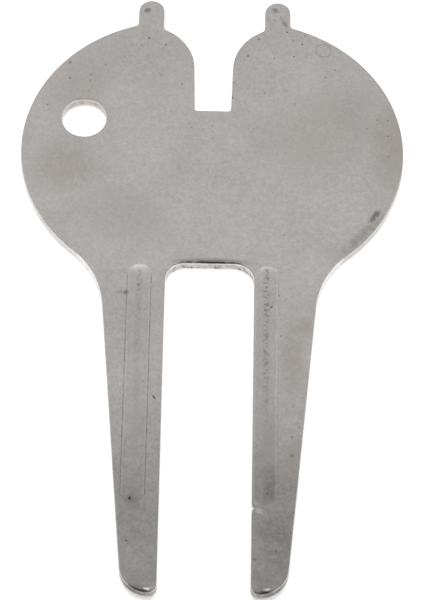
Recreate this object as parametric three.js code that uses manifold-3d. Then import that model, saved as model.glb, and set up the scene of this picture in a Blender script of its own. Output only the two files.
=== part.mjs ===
// Divot repair tool: one flat blank of sheet steel with an oval head, two spike-wrench pins on top of it,
// a slot between the pins, a key-ring hole and two prongs. Each prong has a stiffening bead pressed into
// its back face and curls up slightly towards its tip.
//
// Millimetres. X runs across the tool, +Y points from the prongs to the pins, and +Z is the back face.
// The blank is laid out from the head's centre. The finished tool has its origin at the middle of its
// footprint, on the level of the beads' lowest points.

import * as THREE from 'three';
import * as BufferGeometryUtils from 'three/addons/utils/BufferGeometryUtils.js';
import Module from 'manifold-3d';

// Sheet
const sheetThickness = 1.3;

// Head: an oval made of two round ends, which the slot and the gap cut into from above and below
const headEndRadius = 18.05;
const headEndSpacing = 8.15;

// Spike-wrench pins, which reach past the head's top line
const pinSpacing = 14.95;
const pinWidth = 3.05;
const pinReach = 2.87;
const pinRootFillet = 0.45;

// Slot between the pins, sunk from the head's top line, with a round shoulder on each side of its mouth
const slotMouthWidth = 4.5;
const slotFloorWidth = 4.2;
const slotDepth = 12.65;
const slotCornerRadius = 0.3;
const shoulderRadius = 5.95;
const shoulderDrop = 0.75;

// Key-ring hole
const keyHoleDiameter = 5.2;
const keyHoleX = -14.95;
const keyHoleY = 4.05;

// Gap between the prongs, which rises past the head's bottom line
const gapWidth = 10.05;
const gapRise = 2.81;
const gapCornerRadius = 2.4;

// Prongs, from the head's bottom line: their outer edges taper from the root line to the tip line
const prongLength = 38.77;
const prongRootDrop = 4.35;
const prongRootWidth = 6.9;
const prongTipWidth = 3.84;
const prongRootFillet = 10.4;
const tipOuterRadius = 3.2;
const tipInnerRadius = 0.85;

// Beads: round-bottomed grooves in the back face that stand out as ribs on the front face
const beadWidth = 2.7;
const beadDepth = 0.2;
const beadLength = 30.6;
const beadDrop = 0.36; // from the gap's top to a bead's top end
const beadSetback = 2.175; // from a prong's inner edge to its bead's centre line, before the offset
const beadOffset = -0.75; // the beading die sits this far off the tool's centre line

// Curl of the prongs towards the back face
const curlDrop = 14.26; // from the gap's top to the start of the curl
const curlLength = 18;
const curlAngle = THREE.MathUtils.degToRad(3);

// Fineness of the faceted curves
const chordError = 0.004;
const curlSteps = 12;
const beadSidesAround = 88;
const beadEndSteps = 16;

// Levels along Y from the head's centre
const pinTopY = headEndRadius + pinReach;
const slotFloorY = headEndRadius - slotDepth;
const shoulderCentreY = headEndRadius - shoulderDrop - shoulderRadius;
const gapTopY = gapRise - headEndRadius;
const prongRootY = -headEndRadius - prongRootDrop;
const prongTipY = -headEndRadius - prongLength;
const beadTopY = gapTopY - beadDrop;
const beadBottomY = beadTopY - beadLength;
const curlStartY = gapTopY - curlDrop;

const wasm = await Module();
wasm.setup();

function toSolid(geometry) {
  geometry.deleteAttribute('normal');
  geometry.deleteAttribute('uv');
  const merged = BufferGeometryUtils.mergeVertices(geometry);
  return new wasm.Manifold(new wasm.Mesh({
    numProp: 3,
    vertProperties: merged.attributes.position.array,
    triVerts: merged.index.array,
  }));
}

function toGeometry(solid) {
  const mesh = solid.getMesh();
  const geometry = new THREE.BufferGeometry();
  geometry.setAttribute('position', new THREE.BufferAttribute(mesh.vertProperties, 3));
  geometry.setIndex(new THREE.BufferAttribute(mesh.triVerts, 1));
  return geometry;
}

// An arc is { centre, radius, from, to } with its angles in radians, drawn from one to the other
function arcPoints({ centre, radius, from, to }) {
  const widestStep = 2 * Math.acos(1 - chordError / radius);
  const steps = Math.max(2, Math.ceil(Math.abs(to - from) / widestStep));
  const points = [];
  for (let i = 0; i <= steps; i += 1) {
    const angle = from + (to - from) * i / steps;
    points.push(new THREE.Vector2(radius, 0).rotateAround(new THREE.Vector2(), angle).add(centre));
  }
  return points;
}

// Arcs that touch share their meeting point, which the outline takes once
function joined(arcs) {
  const points = arcs.flatMap(arcPoints);
  return points.filter((point, i) => point.distanceTo(points[(i + 1) % points.length]) > 1e-6);
}

function mirroredArc({ centre, radius, from, to }) {
  return {
    centre: new THREE.Vector2(-centre.x, centre.y),
    radius,
    from: Math.PI - to,
    to: Math.PI - from,
  };
}

// The point at a distance from centre on the line through start, on the side that direction points to
function pointOnLine(start, direction, centre, distance) {
  const toCentre = centre.clone().sub(start);
  const along = toCentre.dot(direction);
  const across = toCentre.lengthSq() - along ** 2;
  return start.clone().addScaledVector(direction, along + Math.sqrt(distance ** 2 - across));
}

function angleFrom(centre, point) {
  return Math.atan2(point.y - centre.y, point.x - centre.x);
}

// The right half of the outline runs from the middle of the slot's floor, round the outside, to the middle
// of the gap's top. Its round stretches are arcs, and straight edges join one to the next.
function rightHalfArcs() {
  const up = new THREE.Vector2(0, 1);
  const pinX = pinSpacing / 2;
  const pinRadius = pinWidth / 2;
  const headCentre = new THREE.Vector2(headEndSpacing / 2, 0);
  const shoulderCentre = new THREE.Vector2(slotMouthWidth / 2 + shoulderRadius, shoulderCentreY);

  const innerRootStart = new THREE.Vector2(pinX - pinRadius - pinRootFillet, shoulderCentreY);
  const innerRootCentre = pointOnLine(innerRootStart, up, shoulderCentre, shoulderRadius + pinRootFillet);
  const innerRootAngle = angleFrom(shoulderCentre, innerRootCentre);

  const outerRootStart = new THREE.Vector2(pinX + pinRadius + pinRootFillet, 0);
  const outerRootCentre = pointOnLine(outerRootStart, up, headCentre, headEndRadius + pinRootFillet);
  const outerRootAngle = angleFrom(headCentre, outerRootCentre);

  const tipX = gapWidth / 2 + prongTipWidth;
  const rootX = gapWidth / 2 + prongRootWidth;
  const down = new THREE.Vector2(tipX - rootX, prongTipY - prongRootY).normalize();
  const outwards = new THREE.Vector2(-down.y, down.x);
  const edgeAngle = Math.atan2(outwards.y, outwards.x);
  const rootFilletStart = new THREE.Vector2(rootX, prongRootY).addScaledVector(outwards, prongRootFillet);
  const rootFilletCentre = pointOnLine(
    rootFilletStart, down, headCentre, headEndRadius + prongRootFillet);
  const rootFilletAngle = angleFrom(headCentre, rootFilletCentre);

  const cornerPerRadius = Math.tan((Math.PI / 2 + edgeAngle) / 2);
  const tipRadius = Math.min(tipOuterRadius, (prongTipWidth - tipInnerRadius) / cornerPerRadius);
  const tipCentre = new THREE.Vector2(tipX - tipRadius * cornerPerRadius, prongTipY + tipRadius);

  return [
    {
      centre: new THREE.Vector2(slotFloorWidth / 2 - slotCornerRadius, slotFloorY + slotCornerRadius),
      radius: slotCornerRadius, from: -Math.PI / 2, to: 0,
    },
    { centre: shoulderCentre, radius: shoulderRadius, from: Math.PI, to: innerRootAngle },
    { centre: innerRootCentre, radius: pinRootFillet, from: innerRootAngle - Math.PI, to: 0 },
    { centre: new THREE.Vector2(pinX, pinTopY - pinRadius), radius: pinRadius, from: Math.PI, to: 0 },
    { centre: outerRootCentre, radius: pinRootFillet, from: Math.PI, to: Math.PI + outerRootAngle },
    { centre: headCentre, radius: headEndRadius, from: outerRootAngle, to: rootFilletAngle },
    {
      centre: rootFilletCentre, radius: prongRootFillet,
      from: rootFilletAngle + Math.PI, to: edgeAngle + Math.PI,
    },
    { centre: tipCentre, radius: tipRadius, from: edgeAngle, to: -Math.PI / 2 },
    {
      centre: new THREE.Vector2(gapWidth / 2 + tipInnerRadius, prongTipY + tipInnerRadius),
      radius: tipInnerRadius, from: -Math.PI / 2, to: -Math.PI,
    },
    {
      centre: new THREE.Vector2(gapWidth / 2 - gapCornerRadius, gapTopY - gapCornerRadius),
      radius: gapCornerRadius, from: 0, to: Math.PI / 2,
    },
  ];
}

// The outline as a tall prism, with the key-ring hole through it
function outlinePrism(bottom, top) {
  const right = rightHalfArcs();
  const left = right.map(mirroredArc).reverse();
  const outline = new THREE.Shape(joined([...right, ...left]));
  const keyHole = {
    centre: new THREE.Vector2(keyHoleX, keyHoleY), radius: keyHoleDiameter / 2, from: 0, to: 2 * Math.PI,
  };
  outline.holes.push(new THREE.Path(joined([keyHole])));
  const geometry = new THREE.ExtrudeGeometry(outline, { depth: top - bottom, bevelEnabled: false });
  return toSolid(geometry.translate(0, 0, bottom));
}

// Where the press moves a point of the flat sheet: nowhere in the head, and round the curl in the prongs
function curled(y, z) {
  const past = Math.max(0, curlStartY - y);
  const curlRadius = curlLength / curlAngle;
  const turn = Math.min(past, curlLength) / curlRadius;
  const straight = Math.max(0, past - curlLength);
  return {
    y: Math.max(y, curlStartY) - (curlRadius - z) * Math.sin(turn) - straight * Math.cos(turn),
    z: curlRadius - (curlRadius - z) * Math.cos(turn) + straight * Math.sin(turn),
  };
}

// A layer of the curled sheet between two depths, wider and longer than the blank
function sheetLayer(bottom, top) {
  const spare = 5;
  const width = headEndSpacing + 2 * headEndRadius + 2 * spare;
  const stations = [pinTopY + spare];
  for (let i = 0; i <= curlSteps; i += 1) {
    stations.push(curlStartY - curlLength * i / curlSteps);
  }
  stations.push(Math.min(prongTipY, curlStartY - curlLength) - spare);
  const edge = (z) => stations.map((y) => curled(y, z)).map((p) => new THREE.Vector2(p.y, p.z));
  const profile = new THREE.Shape([...edge(bottom), ...edge(top).reverse()]);
  const geometry = new THREE.ExtrudeGeometry(profile, { depth: width, bevelEnabled: false });
  const alongY = new THREE.Vector3(0, 1, 0);
  const alongZ = new THREE.Vector3(0, 0, 1);
  const alongX = new THREE.Vector3(1, 0, 0);
  geometry.applyMatrix4(new THREE.Matrix4().makeBasis(alongY, alongZ, alongX));
  return toSolid(geometry.translate(-width / 2, 0, 0));
}

// The round-nosed bar that presses a bead: it sinks beadDepth below a surface of the flat sheet
function beadBar(x, surface) {
  const barRadius = ((beadWidth / 2) ** 2 + beadDepth ** 2) / (2 * beadDepth);
  const length = beadTopY - beadBottomY - beadWidth;
  const geometry = new THREE.CapsuleGeometry(
    barRadius, length, beadEndSteps, beadSidesAround, curlSteps * 2);
  geometry.translate(x, (beadTopY + beadBottomY) / 2, surface - beadDepth + barRadius);
  const position = geometry.attributes.position;
  for (let i = 0; i < position.count; i += 1) {
    const moved = curled(position.getY(i), position.getZ(i));
    position.setY(i, moved.y);
    position.setZ(i, moved.z);
  }
  return toSolid(geometry);
}

function toolPlate() {
  const beadSpread = gapWidth / 2 + beadSetback;
  let sheet = sheetLayer(0, sheetThickness);
  for (const x of [beadOffset - beadSpread, beadOffset + beadSpread]) {
    const rib = beadBar(x, 0).intersect(sheetLayer(-2 * beadDepth, sheetThickness / 2));
    sheet = sheet.add(rib).subtract(beadBar(x, sheetThickness));
  }
  const tipLift = (curlStartY - prongTipY) * Math.sin(curlAngle);
  const blank = sheet.intersect(outlinePrism(-2 * beadDepth, 2 * sheetThickness + tipLift));
  const nickelPlate = new THREE.MeshStandardMaterial({ color: 0xa8a5a2, metalness: 1, roughness: 0.42 });
  const plate = new THREE.Mesh(toGeometry(blank), nickelPlate);
  plate.name = 'tool_plate';
  return plate;
}

const tool = new THREE.Group();
const plate = toolPlate();
plate.position.set(0, -(pinTopY + prongTipY) / 2, beadDepth);
tool.add(plate);

export default tool;
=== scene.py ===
import bpy
import math
from mathutils import Matrix, Vector


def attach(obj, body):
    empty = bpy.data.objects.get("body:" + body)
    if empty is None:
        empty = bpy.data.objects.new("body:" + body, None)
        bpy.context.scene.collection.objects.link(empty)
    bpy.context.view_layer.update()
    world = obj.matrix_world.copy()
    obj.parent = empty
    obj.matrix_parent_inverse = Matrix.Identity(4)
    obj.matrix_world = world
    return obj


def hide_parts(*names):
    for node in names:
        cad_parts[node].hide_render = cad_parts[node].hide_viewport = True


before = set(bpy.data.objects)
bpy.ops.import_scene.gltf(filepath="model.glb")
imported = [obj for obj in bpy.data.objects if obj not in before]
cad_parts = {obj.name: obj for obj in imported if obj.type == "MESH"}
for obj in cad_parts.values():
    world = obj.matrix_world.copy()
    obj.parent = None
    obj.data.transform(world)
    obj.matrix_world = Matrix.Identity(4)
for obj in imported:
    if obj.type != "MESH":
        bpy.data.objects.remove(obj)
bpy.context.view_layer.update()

MM = 0.001


# Camera: a long lens over the middle of the tool, looking down past the prong tips at 60 degrees and
# rolled a little, so that the pins lean to the right.
aim = Vector((0.315, -2.22, 1.5)) * MM
camera_distance = 360 * MM
camera_tilt = math.radians(30.2)
camera_roll = math.radians(1.1)

camera_data = bpy.data.cameras.new("camera")
camera_data.lens = 192
camera_data.sensor_width = 36
camera_data.clip_start = 0.02
camera = bpy.data.objects.new("camera", camera_data)
bpy.context.collection.objects.link(camera)
camera.matrix_world = (
    Matrix.Translation(aim + camera_distance * Vector((0, -math.sin(camera_tilt), math.cos(camera_tilt))))
    @ Matrix.Rotation(camera_tilt, 4, "X")
    @ Matrix.Rotation(camera_roll, 4, "Z"))
bpy.context.scene.camera = camera
bpy.context.scene.view_settings.view_transform = "Standard"


# Table: a light table topped with matt white acrylic, which glows softly and is lit from above too, so
# that the tool casts next to no shadow. The matt top scatters light evenly and has a trace of tooth.
def linear(hex_colour):
    channels = [int(hex_colour[i:i + 2], 16) / 255 for i in (1, 3, 5)]
    return [c / 12.92 if c <= 0.04045 else ((c + 0.055) / 1.055) ** 2.4 for c in channels] + [1]


def add_node(tree, kind, inputs=None, **settings):
    # An input is a value, an output to link from, or a node, which links from its first output
    node = tree.nodes.new(kind)
    for name, setting in settings.items():
        setattr(node, name, setting)
    for socket, source in (inputs or {}).items():
        if isinstance(source, bpy.types.Node):
            source = source.outputs[0]
        if isinstance(source, bpy.types.NodeSocket):
            tree.links.new(source, node.inputs[socket])
        else:
            node.inputs[socket].default_value = source
    return node


def new_material(name):
    material = bpy.data.materials.new(name)
    material.use_nodes = True
    return material, material.node_tree, material.node_tree.nodes["Principled BSDF"]


bpy.ops.object.select_all(action="DESELECT")
bpy.ops.mesh.primitive_plane_add(size=3)
table = bpy.context.object
table.name = "table"

white_acrylic, tree, surface = new_material("matt_white_acrylic")
surface.inputs["Base Color"].default_value = linear("#F4F4F3")
surface.inputs["Roughness"].default_value = 0.9
surface.inputs["Specular IOR Level"].default_value = 0.2
surface.inputs["Emission Color"].default_value = linear("#FFFFFF")
surface.inputs["Emission Strength"].default_value = 0.35
place = add_node(tree, "ShaderNodeTexCoord")
tooth = add_node(
    tree, "ShaderNodeTexNoise", {"Vector": place.outputs["Object"], "Scale": 1 / (0.4 * MM), "Detail": 2})
relief = add_node(tree, "ShaderNodeBump", {"Height": tooth, "Strength": 0.1, "Distance": 0.02 * MM})
tree.links.new(relief.outputs["Normal"], surface.inputs["Normal"])
table.data.materials.append(white_acrylic)


# Studio light: a tent of white cloth, open and dim on the camera's side, with a long softbox hung over
# the tool. A second lamp lights only the table, which stays white beside the darker metal.
tent = bpy.data.worlds.new("cloth_tent")
tent.use_nodes = True
tree = tent.node_tree
towards = add_node(tree, "ShaderNodeTexCoord")
sides = add_node(tree, "ShaderNodeSeparateXYZ", {"Vector": towards.outputs["Generated"]})
front_to_back = add_node(
    tree, "ShaderNodeMapRange", {"Value": sides.outputs["Y"], "From Min": -1, "From Max": 1})
cloth = add_node(tree, "ShaderNodeValToRGB", {"Fac": front_to_back})
for position, grey in (
        (0, 0.32), (0.2, 0.16), (0.36, 0.15), (0.5, 0.5), (0.62, 0.6), (0.84, 0.56), (0.93, 0.3), (1, 0.2)):
    stop = cloth.color_ramp.elements[0] if position == 0 else cloth.color_ramp.elements.new(position)
    stop.position = position
    stop.color = (grey, grey, grey, 1)
tree.links.new(cloth.outputs["Color"], tree.nodes["Background"].inputs["Color"])
bpy.context.scene.world = tent


def softbox(name, place, width, length, watts):
    light = bpy.data.lights.new(name, "AREA")
    light.shape = "RECTANGLE"
    light.size = width
    light.size_y = length
    light.energy = watts
    lamp = bpy.data.objects.new(name, light)
    bpy.context.collection.objects.link(lamp)
    lamp.matrix_world = Matrix.Translation(place) @ Vector(place).to_track_quat("Z", "Y").to_matrix().to_4x4()
    return lamp


softbox("overhead_softbox", (0, 0.04, 1.1), 1.6, 0.3, 1.7)
table_lamp = softbox("table_lamp", (0, 0, 1.6), 1.5, 1.5, 22)
table_lamp.visible_glossy = False


# Tool plate: the whole tool is one blank of 1.3 mm sheet steel, stamped with its pins, slot, hole and
# prongs, then beaded, curled up a little at the tips, tumbled and nickel plated. It is laid out from the
# middle of the head, with the sheet's underside at zero, and moved on to its beads at the end.
sheet_thickness = 1.3 * MM
upper_rim_radius = 0.18 * MM
lower_rim_radius = 0.08 * MM
head_end_radius = 18.05 * MM
head_end_x = 4.075 * MM

pin_x = 7.475 * MM
pin_radius = 1.525 * MM
pin_top_y = 20.92 * MM
pin_root_fillet = 0.45 * MM

slot_floor_y = 5.4 * MM
slot_floor_half_width = 2.1 * MM
slot_corner_radius = 0.3 * MM
shoulder_radius = 5.95 * MM
shoulder_centre = Vector((8.2, 11.35)) * MM

key_hole_centre = Vector((-14.95, 4.05)) * MM
key_hole_radius = 2.6 * MM
key_hole_flare = 0.04 * MM

ring_centre = Vector((12.9, 14.1)) * MM
ring_radius = 0.9 * MM

gap_half_width = 5.025 * MM
gap_top_y = -15.24 * MM
gap_corner_radius = 2.4 * MM

prong_root = Vector((11.925, -22.4)) * MM
prong_tip = Vector((8.865, -56.82)) * MM
prong_root_fillet = 10.4 * MM
tip_outer_radius = 3.2 * MM
tip_inner_radius = 0.85 * MM

bead_middle_x = -0.75 * MM
bead_spread = 7.2 * MM
bead_lines_x = (bead_middle_x - bead_spread, bead_middle_x + bead_spread)
bead_half_width = 1.35 * MM
bead_depth = 0.2 * MM
bead_top_y = -15.6 * MM
bead_bottom_y = -46.2 * MM
bead_middle_y = (bead_top_y + bead_bottom_y) / 2
bead_straight_half = (bead_top_y - bead_bottom_y) / 2 - bead_half_width

curl_start_y = -29.5 * MM
curl_length = 18 * MM
curl_angle = math.radians(3)

quarter = math.pi / 2
move_to_middle = -(pin_top_y + prong_tip.y) / 2


def select_vertices(mesh, wanted):
    bpy.ops.mesh.select_all(action="DESELECT")
    bpy.ops.object.mode_set(mode="OBJECT")
    for vertex in mesh.vertices:
        vertex.select = wanted(vertex.co)
    bpy.ops.object.mode_set(mode="EDIT")


def select_faces(mesh, wanted):
    bpy.ops.mesh.select_mode(type="FACE")
    bpy.ops.mesh.select_all(action="DESELECT")
    bpy.ops.object.mode_set(mode="OBJECT")
    for face in mesh.polygons:
        face.select = wanted(face)
    bpy.ops.object.mode_set(mode="EDIT")


def cut_at(x=None, y=None):
    # Cuts the selected faces along the plane at this x, or at this y
    bpy.ops.mesh.bisect(
        plane_co=(x or 0, y or 0, 0), plane_no=(1, 0, 0) if y is None else (0, 1, 0), threshold=0.001 * MM)


def apply_modifier(piece, kind, **settings):
    modifier = piece.modifiers.new(kind.lower(), kind)
    for name, setting in settings.items():
        setattr(modifier, name, setting)
    bpy.context.view_layer.objects.active = piece
    bpy.ops.object.modifier_apply(modifier=modifier.name)


def meets_circle(start, direction, centre, distance):
    # The point on a line that is this far from a circle's centre, on the side the line runs to
    to_centre = centre - start
    along = to_centre.dot(direction)
    return start + direction * (along + math.sqrt(distance ** 2 - (to_centre.length_squared - along ** 2)))


def angle_of(direction):
    return math.atan2(direction.y, direction.x)


def draw_arc(centre, radius, start_angle, end_angle):
    # A straight edge to where the arc starts, then the arc itself, each from the last point drawn
    bpy.ops.object.mode_set(mode="OBJECT")
    last = next(v for v in plate.data.vertices if v.select)
    gap = Vector((*(centre + radius * Vector((math.cos(start_angle), math.sin(start_angle)))), 0)) - last.co
    bpy.ops.object.mode_set(mode="EDIT")
    bpy.ops.mesh.extrude_region_move(TRANSFORM_OT_translate={"value": gap})
    steps = max(3, math.ceil(abs(end_angle - start_angle) / (2 * math.acos(1 - 0.003 * MM / radius))))
    bpy.ops.mesh.spin(
        steps=steps, angle=start_angle - end_angle, center=(*centre, 0), axis=(0, 0, 1))


# The right half of the outline, from the middle of the slot's floor round to the middle of the gap's top
bpy.ops.object.select_all(action="DESELECT")
bpy.ops.mesh.primitive_plane_add(size=1 * MM)
plate = bpy.context.object
plate.name = "stamped_plate"
bpy.ops.object.mode_set(mode="EDIT")
bpy.ops.mesh.select_mode(type="VERT")
bpy.ops.mesh.merge(type="CENTER")
bpy.ops.transform.translate(value=(0, slot_floor_y, 0))

head_end = Vector((head_end_x, 0))
inner_root = meets_circle(
    Vector((pin_x - pin_radius - pin_root_fillet, shoulder_centre.y)), Vector((0, 1)),
    shoulder_centre, shoulder_radius + pin_root_fillet)
outer_root = meets_circle(
    Vector((pin_x + pin_radius + pin_root_fillet, 0)), Vector((0, 1)),
    head_end, head_end_radius + pin_root_fillet)
taper = (prong_tip - prong_root).normalized()
outwards = Vector((-taper.y, taper.x))
prong_fillet = meets_circle(
    prong_root + outwards * prong_root_fillet, taper, head_end, head_end_radius + prong_root_fillet)
tip_corner = math.tan((math.pi / 2 + angle_of(outwards)) / 2)
tip_centre = prong_tip + Vector((-tip_outer_radius * tip_corner, tip_outer_radius))
tip_inner_centre = Vector((gap_half_width, prong_tip.y)) + Vector((tip_inner_radius, tip_inner_radius))

draw_arc(
    Vector((slot_floor_half_width - slot_corner_radius, slot_floor_y + slot_corner_radius)),
    slot_corner_radius, -quarter, 0)
draw_arc(shoulder_centre, shoulder_radius, 2 * quarter, angle_of(inner_root - shoulder_centre))
draw_arc(inner_root, pin_root_fillet, angle_of(inner_root - shoulder_centre) - 2 * quarter, 0)
draw_arc(Vector((pin_x, pin_top_y - pin_radius)), pin_radius, 2 * quarter, 0)
draw_arc(outer_root, pin_root_fillet, 2 * quarter, 2 * quarter + angle_of(outer_root - head_end))
draw_arc(head_end, head_end_radius, angle_of(outer_root - head_end), angle_of(prong_fillet - head_end))
draw_arc(
    prong_fillet, prong_root_fillet,
    angle_of(prong_fillet - head_end) + 2 * quarter, angle_of(outwards) + 2 * quarter)
draw_arc(tip_centre, tip_outer_radius, angle_of(outwards), -quarter)
draw_arc(tip_inner_centre, tip_inner_radius, -quarter, -2 * quarter)
draw_arc(
    Vector((gap_half_width - gap_corner_radius, gap_top_y - gap_corner_radius)), gap_corner_radius,
    0, quarter)

# Its mirror image closes it, and the sheet's thickness stands on it
bpy.ops.mesh.extrude_region_move(
    TRANSFORM_OT_translate={"value": (-(gap_half_width - gap_corner_radius), 0, 0)})
bpy.ops.mesh.select_all(action="SELECT")
bpy.ops.mesh.duplicate()
bpy.ops.transform.resize(value=(-1, 1, 1), center_override=(0, 0, 0))
bpy.ops.mesh.select_all(action="SELECT")
bpy.ops.mesh.remove_doubles(threshold=0.002 * MM)
bpy.ops.mesh.edge_face_add()
bpy.ops.mesh.extrude_region_move(TRANSFORM_OT_translate={"value": (0, 0, sheet_thickness)})
bpy.ops.mesh.select_all(action="SELECT")
bpy.ops.mesh.normals_make_consistent(inside=False)
bpy.ops.object.mode_set(mode="OBJECT")

# The press rounds the upper rims and leaves the lower ones nearly sharp
for level, offset, segments in ((sheet_thickness, upper_rim_radius, 5), (0, lower_rim_radius, 2)):
    bpy.ops.object.mode_set(mode="EDIT")
    bpy.ops.mesh.select_mode(type="EDGE")
    bpy.ops.mesh.select_all(action="DESELECT")
    bpy.ops.object.mode_set(mode="OBJECT")
    mesh = plate.data
    for edge in mesh.edges:
        edge.select = all(abs(mesh.vertices[v].co.z - level) < 0.001 * MM for v in edge.vertices)
    bpy.ops.object.mode_set(mode="EDIT")
    bpy.ops.mesh.bevel(offset=offset, segments=segments, profile=0.5, affect="EDGES", clamp_overlap=False)
    bpy.ops.object.mode_set(mode="OBJECT")

# A narrow flat margin inside each rim keeps the wide faces' shading flat, and evenly spaced cuts keep
# the head's faces small
flat_margin = 0.04 * MM
cut_spacing = 3 * MM
cut_offset_y = 0.5 * MM
bpy.ops.object.mode_set(mode="EDIT")
select_faces(plate.data, lambda face: abs(face.normal.z) > 0.9999)
bpy.ops.mesh.inset(thickness=flat_margin, depth=0)
for cut in range(-7, 8):
    bpy.ops.mesh.select_all(action="SELECT")
    cut_at(x=cut_spacing * cut)
    if -5 <= cut <= 6:
        bpy.ops.mesh.select_all(action="SELECT")
        cut_at(y=cut_spacing * cut + cut_offset_y)
bpy.ops.object.mode_set(mode="OBJECT")

# The key-ring hole is cut by a round punch that flares out at the top, where the rim is rounded
punch_reach = 1 * MM
bpy.ops.object.select_all(action="DESELECT")
bpy.ops.mesh.primitive_circle_add(
    vertices=96, radius=key_hole_radius, fill_type="NGON", location=(*key_hole_centre, -punch_reach))
punch = bpy.context.object
bpy.ops.object.mode_set(mode="EDIT")
bpy.ops.mesh.select_all(action="SELECT")
bpy.ops.mesh.extrude_region_move(
    TRANSFORM_OT_translate={"value": (0, 0, punch_reach + sheet_thickness - key_hole_flare)})
radius = key_hole_radius
flare_step = math.radians(15)
for step in range(1, 6):
    turn = flare_step * step
    wider = key_hole_radius + key_hole_flare * (1 - math.cos(turn))
    rise = key_hole_flare * (math.sin(turn) - math.sin(turn - flare_step))
    bpy.ops.mesh.extrude_region_move(TRANSFORM_OT_translate={"value": (0, 0, rise)})
    bpy.ops.transform.resize(value=(wider / radius, wider / radius, 1), center_override=(*key_hole_centre, 0))
    radius = wider
bpy.ops.mesh.extrude_region_move(TRANSFORM_OT_translate={"value": (0, 0, key_hole_flare)})
bpy.ops.transform.resize(value=(1.25, 1.25, 1), center_override=(*key_hole_centre, 0))
bpy.ops.mesh.select_all(action="SELECT")
bpy.ops.mesh.normals_make_consistent(inside=False)
bpy.ops.object.mode_set(mode="OBJECT")
apply_modifier(plate, "BOOLEAN", operation="DIFFERENCE", object=punch, solver="EXACT")
bpy.data.objects.remove(punch)

# A round punch has just touched the head's upper right and left a faint ring
bpy.ops.object.select_all(action="DESELECT")
bpy.ops.mesh.primitive_torus_add(
    major_radius=ring_radius, minor_radius=0.12 * MM, major_segments=64, minor_segments=24,
    location=(*ring_centre, sheet_thickness + 0.08 * MM))
ring = bpy.context.object
apply_modifier(plate, "BOOLEAN", operation="DIFFERENCE", object=ring, solver="EXACT")
bpy.data.objects.remove(ring)
bpy.ops.object.mode_set(mode="EDIT")

# Cuts across the prongs for the curl, finer at the beads' round ends, and cuts along them for the beads
cross_cuts = [bead_top_y + 0.3 * MM]
while cross_cuts[-1] > prong_tip.y + 1 * MM:
    y = cross_cuts[-1]
    at_bead_end = y > bead_top_y - 1.4 * MM or bead_bottom_y - 0.9 * MM < y < bead_bottom_y + 1.9 * MM
    cross_cuts.append(y - (0.1 if at_bead_end else 0.5) * MM)
above = math.inf
for y in cross_cuts:
    select_faces(plate.data, lambda face: face.center.y < above)
    cut_at(y=y)
    above = y
for bead_x in bead_lines_x:
    for part in (0, 0.14, 0.28, 0.42, 0.56, 0.7, 0.82, 0.93, 1, 1.12):
        for side in (1, -1):
            select_faces(plate.data, lambda face: face.center.y < cross_cuts[0]
                         and abs(face.normal.z) > 0.99 and face.center.x * bead_x > 0)
            cut_at(x=bead_x + side * part * bead_half_width)

# The die was worn at the gap's top, so its edges are ragged, with a torn burr on the lower one
tear_spacing = 0.19 * MM
for cut in range(-26, 27):
    select_faces(plate.data, lambda face: abs(face.center.x) < 5.1 * MM and abs(face.normal.z) < 0.95
                 and gap_top_y - 2.4 * MM < face.center.y < gap_top_y + 0.4 * MM)
    cut_at(x=tear_spacing * cut)
bpy.ops.mesh.select_mode(type="VERT")
for low, high, tear, seed in (
        (-1, 0.1 * MM, 0.06 * MM, 4),
        (sheet_thickness - 0.16 * MM, sheet_thickness - 0.01 * MM, 0.03 * MM, 7)):
    select_vertices(plate.data, lambda co: low < co.z < high and abs(co.x) < 4.3 * MM
                    and gap_top_y - 0.9 * MM < co.y < gap_top_y + 0.2 * MM)
    bpy.ops.transform.vertex_random(offset=tear, uniform=1, seed=seed)

# Years of turf have rolled over both tips' ends near their inner corners
for tip_side, worn_x, worn_y in ((-1, -6.1 * MM, 0.44 * MM), (1, 6.8 * MM, 0.6 * MM)):
    select_faces(plate.data, lambda face: face.center.y < prong_tip.y + 1.6 * MM
                 and face.normal.z > 0.9 and face.center.x * tip_side > 0)
    cut_at(y=prong_tip.y + worn_y)
    bpy.ops.mesh.select_mode(type="VERT")
    for reach, push in ((0.85 * MM, 0.02 * MM), (0.55 * MM, 0.035 * MM)):
        select_vertices(plate.data, lambda co: co.z > 1 * MM and co.y < prong_tip.y + worn_y - 0.04 * MM
                        and abs(co.x - worn_x) < reach)
        bpy.ops.transform.translate(value=(0, 0, -push))

# A knock has dented the right prong's inner edge just below its bead
knock = Vector((gap_half_width, bead_bottom_y - 0.1 * MM))
for reach, push in ((0.62 * MM, 0.03 * MM), (0.42 * MM, 0.04 * MM), (0.22 * MM, 0.05 * MM)):
    select_vertices(plate.data, lambda co: co.z > 1 * MM and (co.xy - knock).length < reach)
    bpy.ops.transform.translate(value=(push / 2, 0, -push))
bpy.ops.object.mode_set(mode="OBJECT")

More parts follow.
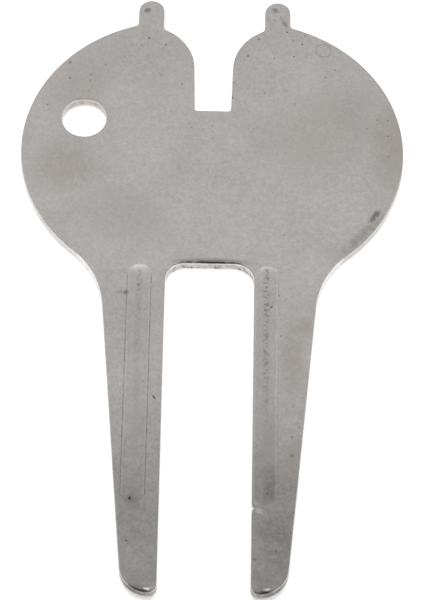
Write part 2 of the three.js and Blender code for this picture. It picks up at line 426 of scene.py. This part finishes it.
# A round-nosed bar presses each bead: the back face sinks to the bar, and the front face swells as much
bar_radius = (bead_half_width ** 2 + bead_depth ** 2) / (2 * bead_depth)
for bead_x in bead_lines_x:
    for face_level in (sheet_thickness, 0):
        bpy.ops.object.select_all(action="DESELECT")
        bpy.ops.mesh.primitive_uv_sphere_add(
            segments=96, ring_count=63, radius=bar_radius, rotation=(quarter, 0, 0))
        bar = bpy.context.object
        bpy.ops.object.transform_apply(location=False, rotation=True, scale=False)
        bpy.ops.object.mode_set(mode="EDIT")
        bpy.ops.mesh.select_mode(type="VERT")
        for side in (1, -1):
            select_vertices(bar.data, lambda co: co.y * side > 0)
            bpy.ops.transform.translate(value=(0, side * bead_straight_half, 0))
        bpy.ops.mesh.select_all(action="SELECT")
        bpy.ops.transform.translate(
            value=(bead_x, bead_middle_y, face_level - bead_depth + bar_radius))
        bpy.ops.object.mode_set(mode="OBJECT")
        pressed = plate.vertex_groups.new(name="pressed")
        pressed.add(
            [v.index for v in plate.data.vertices if v.co.y < cross_cuts[0]
             and abs(v.co.z - face_level) < 0.35 * MM and abs(v.co.x - bead_x) < 2.2 * MM], 1, "REPLACE")
        apply_modifier(
            plate, "SHRINKWRAP", wrap_method="PROJECT", target=bar, vertex_group="pressed",
            use_project_z=True, use_negative_direction=True, use_positive_direction=False)
        plate.vertex_groups.clear()
        bpy.data.objects.remove(bar)

# The prongs are curled up a little at a time, from the far end of the curl back to its start
bpy.context.view_layer.objects.active = plate
bpy.ops.object.mode_set(mode="EDIT")
bpy.ops.mesh.select_mode(type="VERT")
curl_steps = 36
for step in reversed(range(curl_steps)):
    y = curl_start_y - curl_length * (step + 0.5) / curl_steps
    select_vertices(plate.data, lambda co: co.y < y)
    bpy.ops.transform.rotate(
        value=curl_angle / curl_steps, orient_axis="X", center_override=(0, y, 0))

# The finished plate stands on its beads, centred on the tool's footprint
bpy.ops.mesh.select_all(action="SELECT")
bpy.ops.transform.translate(value=(0, move_to_middle, bead_depth))
bpy.ops.mesh.normals_make_consistent(inside=False)
bpy.ops.object.mode_set(mode="OBJECT")
bpy.ops.object.shade_smooth_by_angle(angle=math.radians(32))

# Nickel over tumbled sheet steel: a warm grey metal with a soft, even sheen and no grain direction. The
# stones of the tumbler leave a fine peened skin, and years in a pocket leave grime, specks and tarnish.
# Painted shade and painted highlights are laid into its colour too, at rims, walls, bead ends and tips
nickel, tree, surface = new_material("tumbled_nickel_plate")
surface.inputs["Metallic"].default_value = 1
place = add_node(tree, "ShaderNodeTexCoord").outputs["Object"]
across, along, height = add_node(tree, "ShaderNodeSeparateXYZ", {"Vector": place}).outputs

# Soft cloudy tone over several millimetres, grit of about 0.8 mm that frays the stains' edges, and the
# peened skin, whose dimples are finer than 0.1 mm and are drawn at 0.35 mm so that they show
clouds = add_node(
    tree, "ShaderNodeTexNoise", {"Vector": place, "Scale": 1 / (7 * MM), "Detail": 5, "Roughness": 0.65})
grit = add_node(
    tree, "ShaderNodeTexNoise", {"Vector": place, "Scale": 1 / (0.8 * MM), "Detail": 6, "Roughness": 0.75})
peening = add_node(
    tree, "ShaderNodeTexNoise", {"Vector": place, "Scale": 1 / (0.35 * MM), "Detail": 2, "Roughness": 0.6})

# Stains, worn spots, painted shade and painted highlights, each fullest at its middle and gone at its ragged
# edge. A row gives the middle's x and y, half the length and width, the turn, the strength and the
# raggedness, and where the patch keeps to one level of the sheet's edge, that level and half its height, in
# millimetres and degrees.
tarnish_patches = [
    (13, 21, 11, 7, 25, 0.3, 1.2), (21, 19, 4, 9, 5, 0.5, 1), (-17, 15, 5, 5, 0, 0.45, 1.4),
    (-15, 27.5, 7, 4, 40, 0.25, 1.2), (-11, 9, 9, 5, -20, 0.22, 1.2), (10.6, -5.5, 1.5, 1.8, 0, 0.55, 1.2),
    (9.4, -9.5, 1.8, 7, 0, 0.5, 1.8), (7.1, -19, 1.1, 4, 0, 0.5, 1.2), (9.5, -22, 1.4, 2.8, 0, 0.5, 1)]
# Dirt on both pins; painted shade along the head's lower right rim, at the beads' lower ends and down the
# right prong
dirt_and_shade_patches = [
    (-8, 37.4, 0.6, 0.5, 20, 0.55, 1.6), (7.2, 37.7, 0.7, 0.5, -30, 0.45, 1.6),
    (8.2, 36, 0.4, 1.3, 25, 0.4, 1.8), (18.7, 9.2, 1.5, 0.6, 52, 0.6, 1.8),
    (17.2, 6.5, 5, 0.9, 48, 0.3, 1.8), (-9.4, -1.4, 0.5, 0.4, 0, 0.7, 1.6), (-10, -1.4, 1, 0.3, 0, 0.3, 1),
    (-8.2, -27.4, 0.25, 0.45, 0, 0.9, 0.8),
    (-8, -28, 1.2, 1.3, 0, 0.16, 1.2), (7, -25.6, 1.1, 3, 0, 0.28, 2), (7.8, -33, 2.4, 5.5, 12, 0.24, 2.8),
    (-5.9, -14.8, 0.5, 0.14, -55, 0.9, 0.3)]
# Painted shade: a dark line along the gap's torn upper edge and darkening on its wall, and a dark line under
# the tips' upper rims and darkening on their walls
dirt_and_shade_patches += [
    (0.1, 2.75, 6.6, 0.8, 0, 1, 0.35, 1.36, 0.27), (0, 1.2, 9, 3.2, 0, 0.6, 1, 0.7, 0.85),
    (-7, -38.66, 2.4, 1.2, -14, 1, 0.2, 2.24, 0.32), (6.4, -38.66, 1.8, 1.2, 8, 1, 0.2, 2.24, 0.32),
    (-7, -37.6, 4.4, 3, 0, 0.75, 0.5, 1.65, 0.9), (7, -37.6, 4.4, 3, 0, 0.75, 0.5, 1.65, 0.9)]
# Painted shade in the key-ring hole, on its far wall and along its upper rim
dirt_and_shade_patches += [
    (-14.95, 23.6, 3.4, 2, 0, 0.32, 0.8, 0.8, 0.85), (-14.8, 24.56, 1.7, 0.28, 0, 0.3, 1, 1.47, 0.13)]
# Painted shadows in the nicks of the gap's lower edge
dirt_and_shade_patches += [
    (x, y, size, 0.3, 0, 1, 0.5, 0.28, 0.25)
    for x, y, size in (
        (-2.5, 2.74, 0.5), (-1.4, 2.74, 0.3), (0.8, 2.74, 0.6), (3.3, 2.64, 0.5), (4.1, 2.2, 0.5))]
# Specks of rust at the pins' roots, along the head's upper rim and on both prongs
dirt_and_shade_patches += [
    (x, y, size, 0.7 * size, 60 * x, strength, 1.6) for x, y, size, strength in (
        (-7.7, 33.4, 0.3, 0.5), (-5.7, 32.5, 0.2, 0.7), (5.3, 33.5, 0.25, 0.7), (4, 31.1, 0.25, 0.6),
        (9.3, 33.4, 0.2, 0.8), (10.4, 32.9, 0.22, 0.7), (-10.5, 30.7, 0.25, 0.6), (-12.7, 29.5, 0.2, 0.5),
        (-16.9, 29.7, 0.4, 0.5), (-7.8, 38.2, 0.2, 0.6), (8.6, 34.6, 0.2, 0.8), (14.3, 29.3, 0.25, 0.4),
        (-8, -0.25, 0.25, 0.6), (7, -2.9, 0.25, 0.7), (7.85, -1.5, 0.2, 0.6), (8.1, -6.7, 0.2, 0.5),
        (10.2, -18.3, 0.2, 0.5), (9.5, -15.6, 0.2, 0.5), (9.4, -19.5, 0.25, 0.5), (6.75, -26.5, 0.3, 0.5),
        (8, -31.5, 0.4, 0.4), (7.7, -33.7, 0.4, 0.45), (5.4, -34.7, 0.3, 0.5), (8.1, -35.5, 0.4, 0.45),
        (9.4, -21.8, 0.4, 0.35), (7.05, -18.2, 0.4, 0.4), (7.1, -24.5, 0.4, 0.35))]
# Painted highlights on the dent's lip and on the rolled edges of both tips
painted_highlight_patches = [
    (5.15, -28.4, 0.32, 0.2, -30, 1, 0.3), (5.8, -28.75, 1.1, 0.5, -35, 0.4, 0.5),
    (-6.1, -38.52, 0.9, 0.2, -12, 0.7, 0.3), (6.85, -38.36, 1, 0.26, 8, 0.8, 0.3)]
# Where the head's middle has been rubbed
rub_patches = [(0.5, 8.5, 9, 7, 0, 0.5, 0.5)]

layers = []
for patches in (tarnish_patches, dirt_and_shade_patches, painted_highlight_patches, rub_patches):
    layer = 0
    for x, y, half_length, half_width, turn, strength, raggedness, *edge in patches:
        level, half_height = edge or (1.5, 4)
        local = add_node(
            tree, "ShaderNodeMapping",
            {"Vector": place, "Location": (x * MM, y * MM, level * MM),
             "Rotation": (0, 0, math.radians(turn)),
             "Scale": (half_length * MM, half_width * MM, half_height * MM)},
            vector_type="TEXTURE")
        ball = add_node(tree, "ShaderNodeTexGradient", {"Vector": local}, gradient_type="SPHERICAL")
        torn = add_node(
            tree, "ShaderNodeMath", {0: grit, 1: 4 * raggedness, 2: 1 - 2 * raggedness},
            operation="MULTIPLY_ADD")
        inside = add_node(tree, "ShaderNodeMath", {0: ball.outputs["Fac"], 1: torn}, operation="MULTIPLY")
        patch = add_node(
            tree, "ShaderNodeMapRange", {"Value": inside, "From Max": 0.8, "To Max": strength},
            interpolation_type="SMOOTHSTEP")
        layer = add_node(tree, "ShaderNodeMath", {0: patch, 1: layer}, operation="MAXIMUM")
    layers.append(layer)
tarnish, dirt_and_painted_shade, painted_highlight, rub_area = layers

# The faint ring on the head is painted a little darker along its line
ring_middle = (ring_centre.x, ring_centre.y + move_to_middle, sheet_thickness + bead_depth)
from_ring = add_node(tree, "ShaderNodeVectorMath", {0: place, 1: ring_middle}, operation="DISTANCE")
off_ring = add_node(
    tree, "ShaderNodeMath", {0: from_ring.outputs["Value"], 1: ring_radius}, operation="SUBTRACT")
off_ring = add_node(tree, "ShaderNodeMath", {0: off_ring}, operation="ABSOLUTE")
ring_darkening = add_node(
    tree, "ShaderNodeMapRange",
    {"Value": off_ring, "From Min": 0.17 * MM, "From Max": 0.03 * MM, "To Max": 0.13},
    interpolation_type="SMOOTHSTEP")
dirt_and_painted_shade = add_node(tree, "ShaderNodeMath", {0: dirt_and_painted_shade, 1: ring_darkening}, operation="MAXIMUM")

# Distances: sideways from the nearer bead's centre line, past the end of its straight part, and from
# the line as a whole; then from the bead's rim, from its shoulder and from the right bead's two edges
sideways = across
for operation, value in (
        ("SUBTRACT", bead_middle_x), ("ABSOLUTE", 0), ("SUBTRACT", bead_spread), ("ABSOLUTE", 0)):
    sideways = add_node(tree, "ShaderNodeMath", {0: sideways, 1: value}, operation=operation)
past_end = along
for operation, value in (
        ("SUBTRACT", bead_middle_y + move_to_middle), ("ABSOLUTE", 0),
        ("SUBTRACT", bead_straight_half), ("MAXIMUM", 0)):
    past_end = add_node(tree, "ShaderNodeMath", {0: past_end, 1: value}, operation=operation)
both_ways = add_node(tree, "ShaderNodeCombineXYZ", {"X": sideways, "Y": past_end})
from_line = add_node(tree, "ShaderNodeVectorMath", {0: both_ways}, operation="LENGTH").outputs["Value"]
distances = []
for source, middle, reach in (
        (from_line, 0, bead_half_width), (from_line, 0, 1.18 * MM),
        (across, bead_spread + bead_middle_x, 1.3 * MM)):
    for operation, value in (("SUBTRACT", middle), ("ABSOLUTE", 0), ("SUBTRACT", reach), ("ABSOLUTE", 0)):
        source = add_node(tree, "ShaderNodeMath", {0: source, 1: value}, operation=operation)
    distances.append(source)
off_rim, off_shoulder, off_right_edges = distances


def join_rows(operation, total, rows):
    # A row is a product of soft steps. A step gives what it reads, where it starts and ends, and its
    # values there.
    for row in rows:
        product = 1
        for source, start, end, at_start, at_end in row:
            step = add_node(
                tree, "ShaderNodeMapRange",
                {"Value": source, "From Min": start, "From Max": end, "To Min": at_start, "To Max": at_end},
                interpolation_type="SMOOTHSTEP")
            product = add_node(tree, "ShaderNodeMath", {0: step, 1: product}, operation="MULTIPLY")
        total = add_node(tree, "ShaderNodeMath", {0: total, 1: product}, operation=operation)
    return total


# Pits that hold dirt: frayed dots of about 0.15 mm in cells of 1.2 mm, of which more have one near the pins
pits = add_node(
    tree, "ShaderNodeTexVoronoi", {"Vector": place, "Scale": 1 / (1.2 * MM)}, voronoi_dimensions="2D")
has_pit, pit_depth, _ = add_node(tree, "ShaderNodeSeparateColor", {"Color": pits.outputs["Color"]}).outputs
pit_reach = join_rows("ADD", pits, [((grit, 0, 1, -0.12, 0.12),)])
has_pit = join_rows("ADD", has_pit, [((along, 12 * MM, 34 * MM, 0.015, 0.18),)])
dots = join_rows("ADD", 0, [((pit_reach, 0.11, 0.04, 0, 1), (has_pit, 1, 1.001, 0, 1))])

dirt_and_painted_shade = join_rows("MAXIMUM", dirt_and_painted_shade, [
    # The dots and the dirt in the beads' deepest line, dirtier on the right one, then a dark hairline of
    # painted shade along the beads' edges
    ((dots, 0, 1, 0, 1), (pit_depth, 0, 1, 0.15, 0.7)),
    ((sideways, 0.6 * MM, 0.05 * MM, 0, 1), (peening, 0.42, 0.68, 0, 1),
     (along, -24 * MM, -2 * MM, 0.25, 0.85), (across, -1 * MM, 1 * MM, 0.4, 0.7),
     (from_line, 1.3 * MM, 0.9 * MM, 0, 1)),
    ((off_rim, 0.11 * MM, 0.02 * MM, 0, 1), (grit, 0.4, 0.6, 0.15, 0.5),
     (across, -1 * MM, 1 * MM, 1, 0.45), (past_end, 0.3 * MM, 0, 0, 1))])

# Faint rub marks slant across the middle of the head
slanted = add_node(
    tree, "ShaderNodeMapping",
    {"Vector": place, "Rotation": (0, 0, math.radians(-68)), "Scale": (4 * MM, 0.3 * MM, 1)},
    vector_type="TEXTURE")
rubs = add_node(tree, "ShaderNodeTexNoise", {"Vector": slanted, "Scale": 1, "Detail": 2})

# The tone holds painted shade and painted highlights as well as the metal's own unevenness
tone = join_rows("ADD", 1, [
    # The plating's own unevenness, then the rub marks
    ((clouds, 0.3, 0.7, -0.05, 0.05),),
    ((grit, 0.3, 0.7, -0.052, 0.052),),
    ((peening, 0.3, 0.7, -0.056, 0.056),),
    ((rubs, 0.5, 0.7, 0, -0.06), (rub_area, 0, 1, 0, 1)),
    # The prongs are painted darker towards their tips, the right one a little more, and most of all from the
    # curl on: painted shade where the curled prongs turn from the light
    ((along, 9 * MM, 4 * MM, 0, -0.02),),
    ((along, 3 * MM, -4 * MM, 0, -0.05),),
    ((along, -11 * MM, -30 * MM, 0, -0.28),),
    ((along, 2 * MM, -3 * MM, 0, -0.04), (across, 3 * MM, 5 * MM, 0, 1)),
    # The beads are a touch darker, with painted shade on their upper ends and a painted highlight on their
    # lower ends
    ((from_line, 1.3 * MM, 0.9 * MM, 0, -0.03),),
    ((past_end, 0.1 * MM, 0.9 * MM, 0, -1), (from_line, 1.5 * MM, 1.2 * MM, 0, 1),
     (across, -1 * MM, 1 * MM, 0.12, 0.2), (along, -20 * MM, -10 * MM, -0.9, 1)),
    # Painted highlights: the beads' shoulders, the right bead's edges, the dent's lip and the tips
    ((off_shoulder, 0.14 * MM, 0.02 * MM, 0, 1), (past_end, 0.5 * MM, 0, 0, 0.06)),
    ((off_right_edges, 0.16 * MM, 0.02 * MM, 0, 1), (past_end, 0.5 * MM, 0, 0, 0.08)),
    ((painted_highlight, 0, 1, 0, 0.8),)])
toned = add_node(
    tree, "ShaderNodeVectorMath", {"Vector": linear("#DCD8D5")[:3], "Scale": tone}, operation="SCALE")
tarnished = add_node(
    tree, "ShaderNodeMix", {0: tarnish, 6: toned, 7: linear("#B9B0A6")}, data_type="RGBA")
# Dirt and painted shade darken the colour towards a dark brown
soiled_and_shaded = add_node(
    tree, "ShaderNodeMix", {0: dirt_and_painted_shade, 6: tarnished.outputs[2], 7: linear("#443C37")}, data_type="RGBA")
tree.links.new(soiled_and_shaded.outputs[2], surface.inputs["Base Color"])

# Satin, rougher where stained or painted with shade and on the head's sheared edge, and smoother on the
# painted highlights
roughness = join_rows("ADD", 0.31, [
    ((grit, 0.3, 0.7, 0, 0.04),), ((tarnish, 0, 1, 0, 0.05),), ((dirt_and_painted_shade, 0, 1, 0, 0.2),),
    ((painted_highlight, 0, 1, 0, -0.21),), ((height, 1.49 * MM, 1.4 * MM, 0, 1), (along, 2.9 * MM, 4 * MM, 0, 0.3))])
tree.links.new(roughness.outputs["Value"], surface.inputs["Roughness"])
skin = add_node(tree, "ShaderNodeMath", {0: peening, 1: grit}, operation="ADD")
skin = add_node(tree, "ShaderNodeMath", {0: skin, 1: dots}, operation="SUBTRACT")
relief = add_node(tree, "ShaderNodeBump", {"Height": skin, "Strength": 1, "Distance": 0.006 * MM})
tree.links.new(relief.outputs["Normal"], surface.inputs["Normal"])
plate.data.materials.append(nickel)

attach(plate, "root")
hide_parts("tool_plate")
